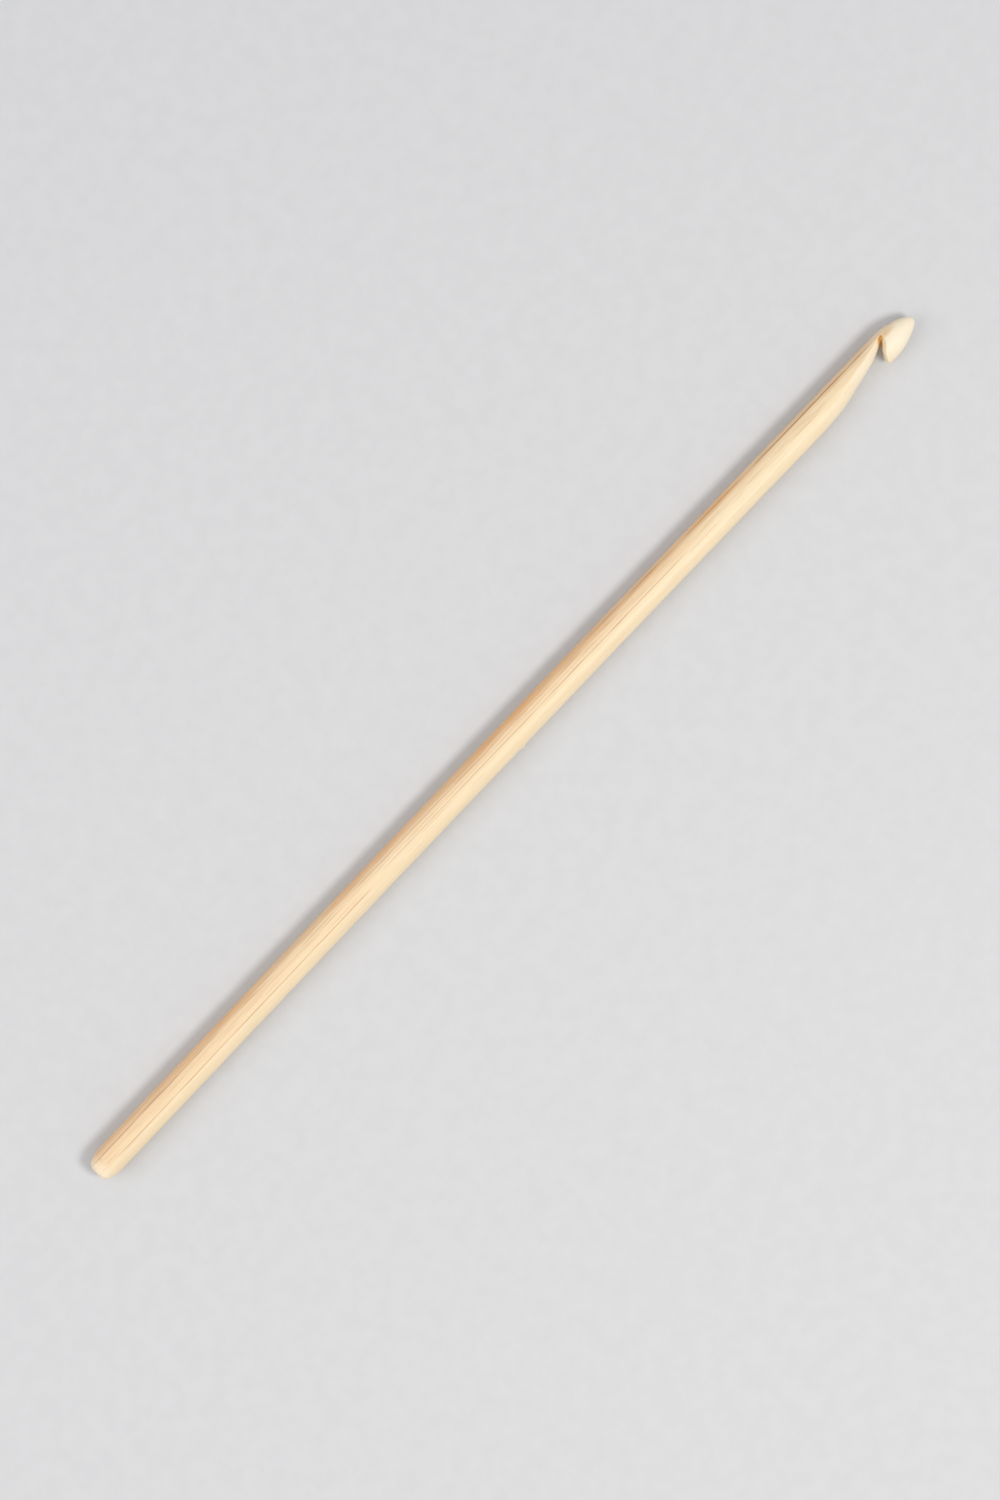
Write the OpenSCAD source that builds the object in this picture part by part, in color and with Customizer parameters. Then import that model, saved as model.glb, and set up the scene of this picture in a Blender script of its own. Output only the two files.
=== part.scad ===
// Bamboo crochet hook, carved in one piece, lying along X with its tip at +X and
// its mouth open towards -Y. It rests on Z = 0, half the head's diameter below its axis.
// It is drawn as two solids that meet face to face: the plain round shaft, and the
// head with its throat, mouth, lip and nose.

/* [Shaft] */
// Overall length, from the butt face to the tip
hook_len = 150; // [120:5:200]
// Shaft diameter, the size that the hook is sold by
shaft_d = 4; // [3:0.5:8]

/* [Butt] */
// Length of the sanded cone at the butt, in shaft diameters
butt_len_k = 0.5; // [0.3:0.05:0.7]
// Slope of the cone's side, in degrees
butt_slope = 14; // [8:1:18]
// Radius of the rim between the cone and the butt face, in shaft diameters
butt_rim_k = 0.12; // [0.06:0.01:0.15]

/* [Head] */
// Diameter that the head swells to at the start of the nose, in shaft diameters
head_d_k = 1.02; // [1.01:0.01:1.06]
// Length of the rounded nose, from full diameter to the tip, in shaft diameters
nose_len_k = 1.25; // [1.1:0.05:1.3]
// Radius of the arc along the nose's side, in shaft diameters
nose_arc_k = 2; // [2:0.1:3]
// Distance from the tip back to the point of the lip, in shaft diameters
lip_back_k = 1.6; // [1.5:0.05:1.8]
// Lean of the lip's back wall away from square to the shaft, in degrees
lip_lean = 21; // [15:1:28]
// Radius of the crown across the lip's back wall, in shaft diameters
lip_crown_k = 1; // [0.8:0.1:2]
// Radius of the rounding at the lip's point, in shaft diameters
lip_round_k = 0.075; // [0.05:0.005:0.1]

/* [Throat] */
// Distance from the lip's point back to the steep floor, in shaft diameters
gap_k = 0.22; // [0.1:0.02:0.4]
// Depth of the throat where the steep floor starts, in shaft diameters
throat_depth_k = 0.45; // [0.35:0.01:0.5]
// Depth of the throat at the bend in its long floor, in shaft diameters
bend_depth_k = 0.07; // [0.05:0.01:0.12]
// Slope of the floor from the round of the shaft up to the bend, in degrees
entry_slope = 4.5; // [4:0.5:7]
// Slope of the floor from the bend to the steep floor, in degrees
floor_slope = 12.6; // [11:0.2:16]
// Slope of the short, steep floor inside the mouth, in degrees
mouth_slope = 24; // [20:1:30]
// Radius of the crown across the whole floor, in shaft diameters
floor_crown_k = 0.55; // [0.54:0.01:0.65]

/* [Hidden] */

$fn = 96;
r = shaft_d / 2;
tip_x = hook_len / 2;
// What a cutter reaches past the surface that it cuts
clear = shaft_d / 4;
// How far a rod reaches past the far side of the shaft
reach = 2 * shaft_d;
// Angle at which a rounding crosses the surfaces beside it, so that it never just touches
meet_angle = 6;

butt_len = butt_len_k * shaft_d;
butt_rim = butt_rim_k * shaft_d;
// Radius of the butt face before its rim is rounded
butt_r = r - butt_len * tan(butt_slope);

head_r = head_d_k * shaft_d / 2;
nose_len = nose_len_k * shaft_d;
nose_arc = nose_arc_k * shaft_d;
nose_x = tip_x - nose_len;
// Distance from the axis out to the centre of the nose's side arc, on the far side
arc_offset = nose_arc - head_r;
// Radius of the ball that closes the nose
tip_r = (nose_arc ^ 2 - nose_len ^ 2 - arc_offset ^ 2)
    / (2 * (nose_arc * cos(meet_angle) - nose_len));
// Distance from the tip back to where the ball takes over from the side arc
tip_h = tip_r * (1 - sin(atan2(nose_len - tip_r, arc_offset)));

lip_x = tip_x - lip_back_k * shaft_d;
lip_crown = lip_crown_k * shaft_d;
lip_round = lip_round_k * shaft_d;
// Direction out of the mouth along the lip's back wall
lip_dir = -90 - lip_lean;

floor_crown = floor_crown_k * shaft_d;
throat_depth = throat_depth_k * shaft_d;
bend_depth = bend_depth_k * shaft_d;

// Where the floor's slope changes, in the middle plane of the hook
steep = [lip_x - gap_k * shaft_d, throat_depth - r, 0];
bend = [steep.x - (throat_depth - bend_depth) / tan(floor_slope), bend_depth - r, 0];
entry = [bend.x - bend_depth / tan(entry_slope), -r, 0];

// The head starts on a whole tenth of a millimetre, a little behind the throat
head_x = floor(10 * (entry.x - clear)) / 10;

// Radius of the round head, before the mouth is cut, at a place between its start and the nose
function round_r(x) = r + (head_r - r) * (x - head_x) / (nose_x - head_x);

// The point of the lip before it is rounded
lip = [lip_x, -round_r(lip_x), 0];

// One step along a direction in the XY plane, and one step to its left
function along(a) = [cos(a), sin(a), 0];
function left_of(a) = [-sin(a), cos(a), 0];

// What a rounding takes off a sharp corner that points along -X
module rounding_waste(half_angle, radius) {
    centre_x = radius * cos(meet_angle) / sin(half_angle);
    difference() {
        translate([-clear, -2 * radius])
            square([clear + centre_x * cos(half_angle) ^ 2, 4 * radius]);
        translate([centre_x, 0]) circle(radius);
    }
}

// Half outline of the shaft, from the butt face at Y = 0
module shaft_outline() {
    len = head_x + tip_x;
    difference() {
        polygon([[0, 0], [butt_r, 0], [r, butt_len], [r, len], [0, len]]);
        translate([butt_r, 0]) rotate([0, 0, 135 - butt_slope / 2])
            rounding_waste(45 + butt_slope / 2, butt_rim);
    }
}

// Half outline of the head before the mouth is cut, with the tip at Y = 0
module head_outline() {
    back_y = head_x - tip_x;
    polygon([[0, back_y], [r, back_y], [head_r, -nose_len], [0, -nose_len]]);
    intersection() {
        translate([-arc_offset, -nose_len]) circle(nose_arc);
        translate([0, -nose_len]) square([shaft_d, nose_len - tip_h]);
    }
    intersection() {
        translate([0, -tip_r]) circle(tip_r);
        translate([0, -2 * tip_r]) square([tip_r, 2 * tip_r]);
    }
}

// A half outline turned round the X axis, with its Y = 0 at X = at
module turned(at) {
    translate([at, 0, 0]) rotate([90, 0, 90]) rotate_extrude() children();
}

// A rod on the left of a sloping line in the middle plane, touching it
module rod_on_line(at, slope, radius, back, ahead) {
    translate(at + radius * left_of(slope) - back * along(slope))
        rotate([0, 90, slope]) cylinder(r = radius, h = back + ahead);
}

// What one slope of the floor takes away, from a corner of the floor up to the lip.
// One rod leaves the floor crowned, and the other leaves the lip's back wall crowned.
module floor_cut(corner, slope) {
    half_h = r + clear;
    back_x = corner.x - clear / 2;
    inside = lip + clear * left_of(lip_dir);
    run = tan(lip_lean);
    difference() {
        translate([0, 0, -half_h]) linear_extrude(2 * half_h) polygon([
            [back_x, -half_h],
            [inside.x - (half_h + inside.y) * run, -half_h],
            [inside.x + (half_h - inside.y) * run, half_h],
            [back_x, half_h]
        ]);
        rod_on_line(corner, slope, floor_crown, clear, lip.x - corner.x + reach);
        rod_on_line(lip, lip_dir, lip_crown, reach, clear);
    }
}

// What the rounding takes off the lip's point, all across the hook
module lip_waste() {
    half_angle = (90 - lip_lean) / 2;
    translate([lip.x, lip.y, -shaft_d]) rotate([0, 0, half_angle])
        linear_extrude(2 * shaft_d) rounding_waste(half_angle, lip_round);
}

module shaft() {
    color("wheat") translate([0, 0, head_r]) turned(-tip_x) shaft_outline();
}

module head() {
    color("wheat") translate([0, 0, head_r]) difference() {
        turned(tip_x) head_outline();
        floor_cut(entry, entry_slope);
        floor_cut(bend, floor_slope);
        floor_cut(steep, mouth_slope);
        lip_waste();
    }
}

shaft();
head();
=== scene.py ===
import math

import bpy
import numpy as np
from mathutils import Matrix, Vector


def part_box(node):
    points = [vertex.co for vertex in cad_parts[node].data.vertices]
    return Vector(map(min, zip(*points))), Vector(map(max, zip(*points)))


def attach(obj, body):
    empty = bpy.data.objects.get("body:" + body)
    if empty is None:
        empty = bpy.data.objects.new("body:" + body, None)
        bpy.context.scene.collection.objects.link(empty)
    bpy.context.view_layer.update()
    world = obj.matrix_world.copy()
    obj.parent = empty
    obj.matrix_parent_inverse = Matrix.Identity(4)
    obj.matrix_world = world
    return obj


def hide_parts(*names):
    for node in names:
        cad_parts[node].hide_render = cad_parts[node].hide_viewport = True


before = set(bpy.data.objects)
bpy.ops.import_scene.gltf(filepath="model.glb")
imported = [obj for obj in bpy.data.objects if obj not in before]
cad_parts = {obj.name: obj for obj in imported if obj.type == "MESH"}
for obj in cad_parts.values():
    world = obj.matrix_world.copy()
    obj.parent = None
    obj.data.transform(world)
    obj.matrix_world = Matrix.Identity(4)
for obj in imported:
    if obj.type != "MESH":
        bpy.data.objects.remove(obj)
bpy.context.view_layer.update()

# Looks for the bamboo crochet hook: one carved, sanded and waxed stick of bamboo that
# lies on a plain pale floor. The stick is meshed from a distance field in its own
# straight frame, in millimetres from its middle, and is then bent into its slight bow.

MM = 0.001


# ---------------------------------------------------------------- sizes from the frame

def box_mm(node):
    """A CAD node's lowest and highest corners, in millimetres."""
    return [np.array(corner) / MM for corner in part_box(node)]


shaft_lo, shaft_hi = box_mm("shaft")
head_lo, head_hi = box_mm("head")

D = shaft_hi[2] - shaft_lo[2]
SHAFT_R = D / 2
HEAD_R = (head_hi[2] - head_lo[2]) / 2
AXIS_Z = (shaft_lo[2] + shaft_hi[2]) / 2
BUTT_X = shaft_lo[0]
JOIN_X = shaft_hi[0]
TIP_X = head_hi[0]

# ---------------------------------------------------------------- the stick's own form

# Butt: a sanded cone with a rounded rim
BUTT_LEN = 0.5 * D
BUTT_SLOPE = math.radians(14)
BUTT_RIM = 0.23 * D
BUTT_SHOULDER = 0.04 * D
BUTT_R = SHAFT_R - BUTT_LEN * math.tan(BUTT_SLOPE)

# The stick is a hair thinner at the butt than where the head starts
TAPER = 0.0035 * D

# Nose: a paraboloid back to the head's full radius, sanded blunt at the tip
NOSE_X = TIP_X - 1.25 * D
NOSE_FULLNESS = 0.2625 * D
NOSE_SHOULDER = 0.09 * D
NOSE_BLUNT = 0.009 * D
TIP_ROUND = 0.02 * D
# The tip leans a hair towards the mouth
NOSE_DROOP = 0.02 * D

# Lip: the point of the hook, and its back wall, which leans more the deeper it goes,
# down to WALL_DEPTH. Deeper than FLARE_DEPTH it also flares out towards its two sides.
LIP_X = TIP_X - 1.6 * D
LIP_Y = -HEAD_R
LIP_ROUND = 0.12 * D
LIP_SPREAD = 0.25 * D
WALL_LEAN = 0.205
WALL_CURL = 0.1035
WALL_DEPTH = 0.675 * D
WALL_CROWN = 5 * D
WALL_FLARE = 0.095
FLARE_DEPTH = 0.3 * D
# Height of the torn fibre ends on the deep part of the wall, in millimetres
TEAR = 0.03

# Throat floor: three slopes with soft bends, crowned across
STEEP_SLOPE = math.radians(24)
FLOOR_SLOPE = math.radians(12.6)
ENTRY_SLOPE = math.radians(4.5)
STEEP_AT = (LIP_X - 0.22 * D, 0.45 * D - SHAFT_R)
BEND_DEPTH = 0.07 * D
BEND_AT = (
    STEEP_AT[0] - (0.45 * D - BEND_DEPTH) / math.tan(FLOOR_SLOPE),
    BEND_DEPTH - SHAFT_R,
)
FLOOR_CROWN = 0.55 * D
BEND_ROUND = 0.04 * D
ROOT_ROUND = 0.03 * D
EDGE_ROUND = 0.035 * D

# How far the cut faces' look fades over their edges, and how far up the notch the painted shade
# reaches
CUT_BLUR = 0.04 * D
NOTCH_REACH = 0.2 * D

# The bow of the whole stick: both ends lean towards the mouth
BOW_SAG = 0.225
BOW_MIDDLE_X = 7.0
BOW_HALF = 75.0
BOW_RISE = 0.045

# A tiny splinter that stands up from the mouth side, near the middle of the stick:
# its centre, its half sizes, and how softly it runs into the stick
SPLINTER_AT = np.array([1.5, -SHAFT_R - 0.02, 0.15])
SPLINTER_SIZE = np.array([0.45, 0.12, 0.14])
SPLINTER_ROOT = 0.08

# Mesh: grid steps across the stick, and along its butt, shaft, splinter, neck and head
GRID_MARGIN = 0.21
STEP_ACROSS = 0.09
STEP_BUTT = 0.09
STEP_SHAFT = 0.7
STEP_SPLINTER = 0.1
STEP_NECK = 0.2
STEP_HEAD = 0.075


def soft_max(a, b, width):
    """The larger of a and b, rounded off where they are within width of each other."""
    near = np.maximum(width - np.abs(a - b), 0) / width
    return np.maximum(a, b) + near * near * width / 4


def soft_min(a, b, width):
    return -soft_max(-a, -b, width)


def round_form(x, y, z):
    """Signed distance to the turned stick, before the mouth is cut."""
    droop = NOSE_DROOP * np.clip((x - NOSE_X) / (TIP_X - NOSE_X), 0, 1) ** 4
    rho = np.hypot(y + droop, z)
    along = np.clip((x - BUTT_X) / (JOIN_X - BUTT_X), 0, 1)
    swell = np.clip((x - JOIN_X) / (NOSE_X - JOIN_X), 0, 1)
    radius = SHAFT_R - TAPER + 2 * TAPER * along
    radius = radius + (HEAD_R - SHAFT_R - TAPER) * swell
    side = rho - radius
    slope = math.tan(BUTT_SLOPE)
    cone = (rho - BUTT_R - (x - BUTT_X) * slope) * math.cos(BUTT_SLOPE)
    side = soft_max(side, cone, BUTT_SHOULDER)
    nose = rho ** 2 - NOSE_FULLNESS * (TIP_X + NOSE_BLUNT - x)
    nose = nose / np.sqrt(4 * rho ** 2 + NOSE_FULLNESS ** 2)
    side = soft_max(side, nose, NOSE_SHOULDER)
    side = soft_max(side, x - TIP_X, TIP_ROUND)
    return soft_max(side, BUTT_X - x, BUTT_RIM)


def floor_form(x, y, z):
    """Distance out of the throat's floor: positive on the mouth's side of it."""
    entry_y = BEND_AT[1] + (x - BEND_AT[0]) * math.tan(ENTRY_SLOPE)
    middle_y = BEND_AT[1] + (x - BEND_AT[0]) * math.tan(FLOOR_SLOPE)
    steep_y = STEEP_AT[1] + (x - STEEP_AT[0]) * math.tan(STEEP_SLOPE)
    floor_y = soft_max(soft_max(entry_y, middle_y, BEND_ROUND), steep_y, BEND_ROUND)
    inside = np.minimum(np.abs(z), 0.98 * FLOOR_CROWN)
    crown = FLOOR_CROWN - np.sqrt(FLOOR_CROWN ** 2 - inside ** 2)
    return (floor_y + crown - y) * math.cos(FLOOR_SLOPE)


def wall_form(x, y, z):
    """Distance out of the lip's back wall: positive on the mouth's side of it."""
    h = soft_min(np.maximum(y - LIP_Y, 0), WALL_DEPTH, 0.5)
    flare = WALL_FLARE * np.maximum(h - FLARE_DEPTH, 0)
    wall_x = LIP_X + WALL_LEAN * (y - LIP_Y) + WALL_CURL * h * h
    wall_x = wall_x + (flare + 0.5 / WALL_CROWN) * z * z
    return (wall_x - x) / np.hypot(1, WALL_LEAN + 2 * WALL_CURL * h)


def tears(x, y, z):
    """Tufts that the cutter tore from the deep end of the mouth, in millimetres."""
    rows = np.sin(13 * y + 2.3 * np.sin(8 * z) + 0.8 * x)
    columns = np.sin(12 * z + 1.9 * np.sin(9 * y) - 0.6)
    deep = np.clip((y - LIP_Y) / WALL_DEPTH - 0.4, 0, 0.5) * 2
    return TEAR * rows * columns * deep


def splinter_form(x, y, z):
    """Rough distance to the splinter."""
    scaled = [(v - at) / size for v, at, size in zip((x, y, z), SPLINTER_AT, SPLINTER_SIZE)]
    return (np.sqrt(sum(s * s for s in scaled)) - 1) * SPLINTER_SIZE.min()


def sanding(x, y, z):
    """Small waviness that hand sanding leaves round and along the stick, in millimetres."""
    turn = np.arctan2(z, y)
    wave = 0.0035 * np.sin(3 * turn + 0.21 * x + 0.6)
    wave = wave + 0.0030 * np.sin(5 * turn - 0.13 * x + 2.1)
    wave = wave + 0.0040 * np.sin(2 * turn + 0.055 * x + 4.0)
    return wave + 0.0035 * np.sin(0.48 * x + 1.7 * np.cos(turn + 1))


def hook_form(p):
    """Signed distance to the whole hook at points p, in millimetres."""
    x, y, z = p[..., 0], p[..., 1], p[..., 2]
    stick = round_form(x, y, z) + sanding(x, y, z)
    cut = soft_min(floor_form(x, y, z), wall_form(x, y, z) + tears(x, y, z), ROOT_ROUND)
    lip_near = np.exp(-((x - LIP_X) ** 2 + (y - LIP_Y) ** 2 + z ** 2) / LIP_SPREAD ** 2)
    edge = EDGE_ROUND + (LIP_ROUND - EDGE_ROUND) * lip_near
    body = soft_max(stick, cut, edge)
    return soft_min(body, splinter_form(x, y, z), SPLINTER_ROOT)


# ---------------------------------------------------------------- meshing

def stations(*spans):
    """Grid places along one axis, from (start, stop, step) spans that follow each other."""
    parts = [np.linspace(a, b, round((b - a) / step), endpoint=False) for a, b, step in spans]
    return np.concatenate(parts + [[spans[-1][1]]])


def surface_net(field, axes):
    """Vertices and outward quads of a field's zero surface, one vertex to a grid cell."""
    grid = np.stack(np.meshgrid(*axes, indexing="ij"), axis=-1)
    value = field(grid)
    cells = np.array(value.shape) - 1
    total = int(np.prod(cells))
    sums = np.zeros((total, 3))
    counts = np.zeros(total)
    quads = []
    for axis in range(3):
        u, v = (axis + 1) % 3, (axis + 2) % 3
        last = value.shape[axis] - 1
        before = value.take(range(last), axis)
        after = value.take(range(1, last + 1), axis)
        edges = np.argwhere((before < 0) != (after < 0))
        here = tuple(edges.T)
        share = before[here] / (before[here] - after[here])
        point = np.stack([axes[k][edges[:, k]] for k in range(3)], axis=1)
        step = axes[axis][edges[:, axis] + 1] - axes[axis][edges[:, axis]]
        point[:, axis] += share * step
        ring = []
        for du, dv in ((-1, -1), (0, -1), (0, 0), (-1, 0)):
            cell = edges.copy()
            cell[:, u] += du
            cell[:, v] += dv
            number = np.ravel_multi_index(cell.T, cells)
            counts += np.bincount(number, minlength=total)
            for k in range(3):
                sums[:, k] += np.bincount(number, weights=point[:, k], minlength=total)
            ring.append(number)
        ring = np.stack(ring, axis=1)
        outward = before[here] < 0
        quads.append(np.where(outward[:, None], ring, ring[:, ::-1]))
    quads = np.concatenate(quads)
    used = np.flatnonzero(counts)
    place = np.full(total, -1)
    place[used] = np.arange(len(used))
    return sums[used] / counts[used, None], place[quads]


def slope_of(field, p, step=0.004):
    """The field's gradient at points p."""
    sides = []
    for k in range(3):
        shift = np.zeros(3)
        shift[k] = step
        sides.append((field(p + shift) - field(p - shift)) / (2 * step))
    return np.stack(sides, axis=-1)


def settle(field, p, rounds=3):
    """Points moved onto the field's zero surface."""
    for _ in range(rounds):
        slope = slope_of(field, p)
        p = p - slope * (field(p) / (slope ** 2).sum(axis=1))[:, None]
    return p


def relax(field, p, quads, rounds=4):
    """Evens out the vertex spacing along the surface, and puts the vertices back on it."""
    count = len(p)
    for _ in range(rounds):
        sums = np.zeros_like(p)
        hits = np.zeros(count)
        for a, b in ((0, 1), (1, 2), (2, 3), (3, 0)):
            for here, there in ((a, b), (b, a)):
                hits += np.bincount(quads[:, here], minlength=count)
                for k in range(3):
                    sums[:, k] += np.bincount(
                        quads[:, here], weights=p[quads[:, there], k], minlength=count
                    )
        move = sums / hits[:, None] - p
        normal = slope_of(field, p)
        normal /= np.linalg.norm(normal, axis=1)[:, None]
        move -= normal * (move * normal).sum(axis=1)[:, None]
        p = settle(field, p + 0.5 * move, rounds=1)
    return p


def bow(x):
    """How far the mid-line stands towards the mouth at x."""
    return BOW_SAG * ((x - BOW_MIDDLE_X) / BOW_HALF) ** 2 - BOW_RISE


def hook_mesh():
    """The whole hook as one closed mesh, with its straight-frame place on each vertex."""
    across = stations((-HEAD_R - GRID_MARGIN, HEAD_R + GRID_MARGIN, STEP_ACROSS))
    butt_end = BUTT_X + 3
    splinter_start, splinter_end = SPLINTER_AT[0] - 0.8, SPLINTER_AT[0] + 0.8
    neck_start = BEND_AT[0] - 4
    along = stations(
        (BUTT_X - GRID_MARGIN, butt_end, STEP_BUTT),
        (butt_end, splinter_start, STEP_SHAFT),
        (splinter_start, splinter_end, STEP_SPLINTER),
        (splinter_end, neck_start, STEP_SHAFT),
        (neck_start, BEND_AT[0], STEP_NECK),
        (BEND_AT[0], TIP_X + GRID_MARGIN, STEP_HEAD),
    )
    points, quads = surface_net(hook_form, (along, across, across))
    points = settle(hook_form, points)
    points = relax(hook_form, points, quads)
    points = settle(hook_form, points)

    placed = points.copy()
    placed[:, 1] -= bow(points[:, 0])
    placed[:, 2] -= points[:, 2].min()
    mesh = bpy.data.meshes.new("bamboo_hook")
    mesh.from_pydata((placed * MM).tolist(), [], quads.tolist())
    mesh.polygons.foreach_set("use_smooth", np.ones(len(quads), bool))
    straight = mesh.attributes.new("straight", "FLOAT_VECTOR", "POINT")
    straight.data.foreach_set("vector", points.astype(np.float32).ravel())
    for name, mark in zip(("carved", "notch"), cut_marks(*points.T)):
        made = mesh.attributes.new(name, "FLOAT", "POINT")
        made.data.foreach_set("value", mark.astype(np.float32))
    mesh.update()
    return mesh


def cut_marks(x, y, z):
    """How much each point lies on the carved floor and wall, and how deep in the notch it is."""
    floor = floor_form(x, y, z)
    wall = wall_form(x, y, z)
    carved = np.clip(0.5 + (np.minimum(floor, wall) - round_form(x, y, z)) / CUT_BLUR, 0, 1)
    notch = np.clip(1 - np.maximum(floor, wall) / NOTCH_REACH, 0, 1)
    return carved, carved * notch


# ---------------------------------------------------------------- material nodes

class Nodes:
    """A short way to write a node tree: each call adds one node and returns its output."""

    def __init__(self, material):
        material.use_nodes = True
        self.tree = material.node_tree
        self.tree.nodes.clear()

    def add(self, kind, inputs=(), output=0, **settings):
        node = self.tree.nodes.new(kind)
        for name, value in settings.items():
            setattr(node, name, value)
        for key, value in dict(inputs).items():
            if isinstance(value, bpy.types.NodeSocket):
                self.tree.links.new(value, node.inputs[key])
            else:
                node.inputs[key].default_value = value
        return node.outputs[output]

    def math(self, operation, a, b=0.0):
        return self.add("ShaderNodeMath", {0: a, 1: b}, operation=operation)

    def times(self, a, b):
        return self.math("MULTIPLY", a, b)

    def larger(self, a, b):
        return self.math("MAXIMUM", a, b)

    def scaled(self, vector, scale):
        return self.add("ShaderNodeVectorMath", {0: vector, 1: scale}, operation="MULTIPLY")

    def shifted(self, vector, shift):
        return self.add("ShaderNodeVectorMath", {0: vector, 1: shift}, operation="ADD")

    def band(self, value, low, high, to_low=0.0, to_high=1.0):
        """value eased from low to high onto to_low to to_high."""
        inputs = {"Value": value, "From Min": low, "From Max": high}
        inputs.update({"To Min": to_low, "To Max": to_high})
        return self.add("ShaderNodeMapRange", inputs, interpolation_type="SMOOTHSTEP")

    def window(self, value, first, last, fade):
        """1 from first to last, easing to 0 over fade on each side."""
        rise = self.band(value, first - fade, first)
        return self.times(rise, self.band(value, last, last + fade, 1.0, 0.0))

    def noise(self, vector, scale=1.0, detail=2.0, roughness=0.5):
        inputs = {"Vector": vector, "Scale": scale, "Detail": detail, "Roughness": roughness}
        return self.add("ShaderNodeTexNoise", inputs)

    def split(self, vector):
        node = self.add("ShaderNodeSeparateXYZ", {0: vector}).node
        return list(node.outputs)

    def grey(self, value):
        return self.add("ShaderNodeCombineColor", {0: value, 1: value, 2: value})

    def finish(self, kind, inputs):
        """The surface shader, joined to the material's output."""
        out = self.tree.nodes.new("ShaderNodeOutputMaterial")
        self.tree.links.new(self.add(kind, inputs), out.inputs["Surface"])

    def blend(self, share, a, b, mode="MIX"):
        """Colour b laid over colour a by share."""
        node = self.tree.nodes.new("ShaderNodeMix")
        node.data_type = "RGBA"
        node.blend_type = mode
        for index, value in ((0, share), (6, a), (7, b)):
            if isinstance(value, bpy.types.NodeSocket):
                self.tree.links.new(value, node.inputs[index])
            else:
                node.inputs[index].default_value = value
        return node.outputs[2]


def srgb(r, g, b):
    """A colour given as 0 to 255 sRGB values, as the linear values that nodes take."""
    parts = [c / 255 for c in (r, g, b)]
    linear = [c / 12.92 if c <= 0.04045 else ((c + 0.055) / 1.055) ** 2.4 for c in parts]
    return (*linear, 1.0)


CREAM = srgb(236, 213, 175)
PALE = srgb(240, 221, 187)
# This pale colour is partly the freshly cut and sanded wood and partly painted light on the
# nose, the butt and the carved faces
FRESH_AND_PAINTED_LIGHT = srgb(247, 235, 211)
PEACH = srgb(237, 199, 153)
TAN = srgb(229, 180, 129)
FIBRE = srgb(178, 122, 74)
AMBER = srgb(229, 163, 92)
# The gold below is both the nose's short golden stain and the painted shade deep in the notch;
# the colour after it is that painted shade's darker specks
GOLD_STAIN_AND_SHADE = srgb(216, 162, 76)
SHADE_SPECK_BROWN = srgb(140, 90, 42)

# The culm's layers, each a little browner than the one before it towards the back, as
# (depth across the stick, first x, last x, strength of the tint, of the seam), in mm
LAYERS = (
    (-0.50, -80, -27, 0.35, 0.45),
    (0.05, -16, 32, 0.35, 0.40),
    (0.50, -75, 70, 0.25, 0.12),
    (1.10, -80, -48, 0.45, 0.60),
    (0.90, -26, 18, 0.50, 0.35),
    (1.56, 21, 80, 0.20, 0.90),
    (1.35, -60, 40, 0.35, 0.20),
)
LAYER_FADE = 7.0
# Layers deeper than this are tinted tan instead of peach
TAN_FROM = 0.8
SEAM_CORE = 0.03
SEAM_EDGE = 0.12

# How strongly each mark colours the wood
STAIN_SHARE = 0.38
# Partly painted light: the paler nose, butt and carved faces
FRESH_AND_PAINTED_LIGHT_SHARE = 0.9
STREAK_SHARE = 0.45
# The next two are the painted shade deep in the notch and its darker specks
NOTCH_SHADE_SHARE = 0.9
NOTCH_SPECK_SHADE_SHARE = 0.75
PORE_SHARE = 0.15


def bamboo_material():
    """Waxed bamboo: cream flesh, long fibre streaks, and a browner, denser back."""
    material = bpy.data.materials.new("bamboo")
    n = Nodes(material)
    place = n.add("ShaderNodeAttribute", output="Vector", attribute_name="straight")
    carved = n.add("ShaderNodeAttribute", output="Fac", attribute_name="carved")
    notch = n.add("ShaderNodeAttribute", output="Fac", attribute_name="notch")
    x, y, z = n.split(place)
    depth = grain_depth(n, place, y)
    streaks = cell_cores(n, place, 2.6, 0.022, 0.24)
    pores = cell_cores(n, n.shifted(place, (5.0, 2.0, 9.0)), 7.0, 0.12, 0.15)
    hairs = n.noise(n.scaled(place, (0.25, 14.0, 14.0)), 1.0, 2.0, 0.6)

    colour = flesh(n, place)
    for row in LAYERS:
        colour = culm_layer(n, place, x, depth, colour, *row)
    colour = bundles(n, place, depth, z, streaks, colour)
    hair_grey = n.grey(n.band(hairs, 0.25, 0.75, 0.95, 1.04))
    colour = n.blend(1.0, colour, hair_grey, "MULTIPLY")
    colour = browned_back(n, place, depth, colour)
    # Paler ends and cut faces, partly their own colour and partly painted light
    colour = pale_ends_and_painted_light(n, x, depth, carved, colour)
    colour = golden_streak(n, x, depth, z, colour)
    # Painted shade deep in the notch, with darker specks
    colour = painted_notch_shade(n, place, notch, colour)
    colour = n.blend(n.times(pores, PORE_SHARE), colour, FIBRE)

    rough = n.band(hairs, 0.2, 0.8, 0.44, 0.56)
    rough = n.math("ADD", rough, n.times(carved, 0.08))
    height = n.math("SUBTRACT", hairs, n.times(streaks, 0.4))
    height = n.math("SUBTRACT", height, n.times(pores, 0.6))
    bump = n.add("ShaderNodeBump", {"Height": height, "Strength": 0.3, "Distance": 0.02 * MM})
    n.finish("ShaderNodeBsdfPrincipled", {
        "Base Color": colour,
        "Roughness": rough,
        "Normal": bump,
        "Specular IOR Level": 0.4,
        "Coat Weight": 0.06,
        "Coat Roughness": 0.35,
        "Subsurface Weight": 0.12,
        "Subsurface Radius": (1.0, 0.55, 0.25),
        "Subsurface Scale": 0.5 * MM,
    })
    return material


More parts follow.
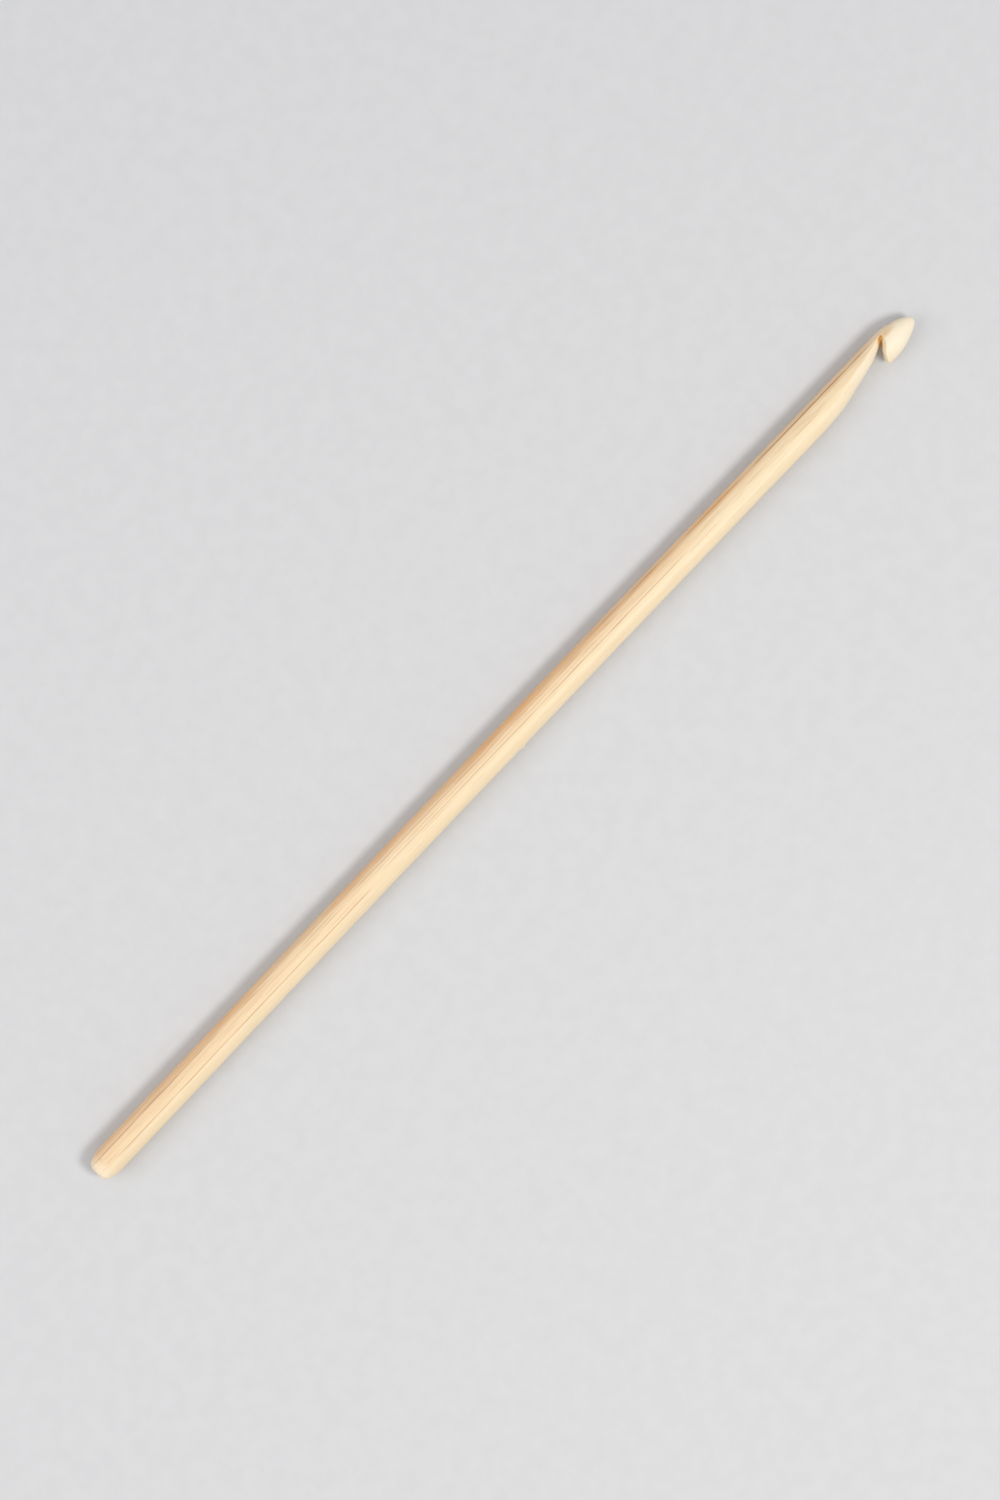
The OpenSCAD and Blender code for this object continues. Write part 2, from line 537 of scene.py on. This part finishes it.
def grain_depth(n, place, y):
    """Depth across the culm: y, wandering by less than a tenth of a millimetre."""
    wander = n.noise(n.scaled(place, (0.03, 0.2, 0.2)), 1.0, 1.0)
    return n.math("ADD", y, n.band(wander, 0.2, 0.8, -0.06, 0.06))


def flesh(n, place):
    """Pale and cream flesh in long soft bands."""
    grain = n.noise(n.scaled(place, (0.010, 1.6, 0.5)), 1.0, 3.0, 0.55)
    return n.blend(n.band(grain, 0.3, 0.7), CREAM, PALE)


def culm_layer(n, place, x, depth, colour, start, first, last, share, seam_share):
    """Tints the culm from one depth towards its back, behind a thin dark seam."""
    reach = n.window(x, first, last, LAYER_FADE)
    apart = n.shifted(place, (40 * start, 0.0, 0.0))
    patchy = n.band(n.noise(n.scaled(apart, (0.03, 0.2, 0.2))), 0.35, 0.65, 0.55, 1.0)
    inside = n.band(depth, start - 0.05, start + 0.12)
    tint = TAN if start > TAN_FROM else PEACH
    amount = n.times(n.times(inside, patchy), n.times(reach, share))
    colour = n.blend(amount, colour, tint)

    off = n.math("ABSOLUTE", n.math("SUBTRACT", depth, start))
    worn = n.band(n.noise(n.scaled(apart, (0.15, 0.5, 0.5))), 0.32, 0.55, 0.25, 1.0)
    seam = n.times(n.band(off, SEAM_CORE, SEAM_EDGE, 1.0, 0.0), worn)
    return n.blend(n.times(seam, n.times(reach, seam_share)), colour, FIBRE)


def bundles(n, place, depth, z, streaks, colour):
    """Vascular bundles: long thin streaks, denser towards the back and the underside."""
    fine = cell_cores(n, n.shifted(place, (31.0, 7.0, 3.0)), 6.0, 0.02, 0.30)
    back = n.band(depth, -1.6, 1.6, 0.10, 0.50)
    density = n.larger(back, n.band(z, 1.0, -0.8, 0.0, 0.42))
    colour = n.blend(n.times(streaks, density), colour, FIBRE)
    return n.blend(n.times(fine, density), colour, FIBRE)


def cell_cores(n, place, per_mm, stretch, radius):
    """1 in the core of long cells of the grain, 0 between them."""
    cells = n.add("ShaderNodeTexVoronoi", {
        "Vector": n.scaled(place, (per_mm * stretch, per_mm, per_mm)),
        "Scale": 1.0,
        "Randomness": 0.9,
    }, output="Distance")
    return n.band(cells, radius * 0.4, radius, 1.0, 0.0)


def browned_back(n, place, depth, colour):
    """The outermost layer is the brownest, with amber stain in patches."""
    colour = n.blend(n.band(depth, 1.2, 2.1, 0.0, 0.35), colour, TAN)
    stain = n.noise(n.scaled(place, (0.08, 0.5, 0.5)), 1.0, 2.0)
    stain = n.times(n.band(stain, 0.45, 0.68), n.band(depth, 1.0, 1.5))
    return n.blend(n.times(stain, STAIN_SHARE), colour, AMBER)


def pale_ends_and_painted_light(n, x, depth, carved, colour):
    """Freshly cut faces, the sanded nose and the sanded butt are paler: partly their own colour,
    partly painted light that brightens the nose, the butt's cone and the carved faces.
    """
    nose = n.times(n.band(x, NOSE_X - 3, NOSE_X + 2), n.band(depth, 0.3, 1.7, 1.0, 0.5))
    butt = n.band(x, BUTT_X + 2.5, BUTT_X, 0.0, 0.7)
    cut = n.times(carved, n.band(x, BEND_AT[0], LIP_X - 2, 0.25, 0.75))
    fresh_and_lit = n.larger(cut, n.larger(nose, butt))
    return n.blend(n.times(fresh_and_lit, FRESH_AND_PAINTED_LIGHT_SHARE), colour, FRESH_AND_PAINTED_LIGHT)


def golden_streak(n, x, depth, z, colour):
    """A short stain that runs on along the fibres from the mouth's deep corner, on top."""
    along = n.window(x, NOSE_X + 0.6, NOSE_X + 1.2, 1.8)
    across = n.times(n.window(depth, 1.0, 1.2, 0.35), n.band(z, 0.3, 1.1))
    return n.blend(n.times(n.times(along, across), STREAK_SHARE), colour, GOLD_STAIN_AND_SHADE)


def painted_notch_shade(n, place, notch, colour):
    """Painted shade in the deep end of the mouth: golden brown where the narrow slot lies in
    shade, with darker specks.
    """
    patch = n.noise(n.scaled(place, (1.2, 2.5, 2.5)), 1.0, 3.0, 0.6)
    brown = n.times(n.band(patch, 0.3, 0.6, 0.7, 1.0), n.band(notch, 0.05, 0.6))
    colour = n.blend(n.times(brown, NOTCH_SHADE_SHARE), colour, GOLD_STAIN_AND_SHADE)
    specks = n.noise(n.scaled(place, (2.0, 4.5, 4.5)), 1.0, 2.0, 0.6)
    specks = n.times(n.band(specks, 0.5, 0.62), n.band(notch, 0.35, 0.8))
    return n.blend(n.times(specks, NOTCH_SPECK_SHADE_SHARE), colour, SHADE_SPECK_BROWN)


def floor_material():
    """Matt, pale paper-like surface."""
    material = bpy.data.materials.new("pale_floor")
    n = Nodes(material)
    place = n.add("ShaderNodeTexCoord", output="Object")
    mottle = n.noise(n.scaled(place, (400.0, 400.0, 400.0)), 1.0, 4.0, 0.6)
    colour = n.blend(n.band(mottle, 0.3, 0.7), srgb(205, 206, 208), srgb(208, 209, 211))
    n.finish("ShaderNodeBsdfPrincipled", {"Base Color": colour, "Roughness": 0.85})
    return material


# ---------------------------------------------------------------- pieces and stage

def link(name, data):
    """A new object of that data in the scene."""
    made = bpy.data.objects.new(name, data)
    bpy.context.scene.collection.objects.link(made)
    return made


def make_hook():
    hook = link("bamboo_hook", hook_mesh())
    hook.data.materials.append(bamboo_material())
    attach(hook, "root")
    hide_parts("shaft", "head")
    return hook


def make_floor():
    half = 3.0
    mesh = bpy.data.meshes.new("floor")
    corners = [(-half, -half, 0), (half, -half, 0), (half, half, 0), (-half, half, 0)]
    mesh.from_pydata(corners, [], [(0, 1, 2, 3)])
    floor = link("floor", mesh)
    mesh.materials.append(floor_material())


def make_light(name, at, aim, size, watts, colour):
    data = bpy.data.lights.new(name, "AREA")
    data.shape = "DISK"
    data.size = size
    data.energy = watts
    data.color = colour
    light = link(name, data)
    light.location = at
    light.rotation_euler = (Vector(aim) - Vector(at)).to_track_quat("-Z", "Y").to_euler()


def make_lights():
    """A warm key from the mouth side, a weak fill from the butt end, and a pale sky."""
    aim = (0, 0, AXIS_Z * MM)
    make_light("key", (0.12, -0.31, 0.55), aim, 0.20, 1.85, (1.0, 0.975, 0.94))
    make_light("fill", (-0.36, 0.22, 0.46), aim, 0.5, 1.1, (1.0, 0.98, 0.95))
    world = bpy.data.worlds.new("sky")
    world.use_nodes = True
    sky = world.node_tree.nodes["Background"]
    sky.inputs["Color"].default_value = (0.98, 0.98, 1.0, 1.0)
    sky.inputs["Strength"].default_value = 0.6
    bpy.context.scene.world = world
    bpy.context.scene.view_settings.view_transform = "Standard"


def make_camera():
    """Straight above the hook, turned so that it lies up the picture to the right."""
    turn = math.radians(-46.34)
    picture_height = 190.4 * MM
    right = Vector((math.cos(turn), math.sin(turn), 0))
    up = Vector((-math.sin(turn), math.cos(turn), 0))
    data = bpy.data.cameras.new("camera")
    data.lens = 100
    data.sensor_width = 36
    distance = picture_height / 2 / (data.sensor_width / 2 / data.lens)
    camera = link("camera", data)
    centre = right * (-0.48 * MM) + up * (-0.69 * MM)
    camera.location = centre + Vector((0, 0, AXIS_Z * MM + distance))
    camera.rotation_euler = (0, 0, turn)
    bpy.context.scene.camera = camera


make_camera()
make_floor()
make_lights()
make_hook()
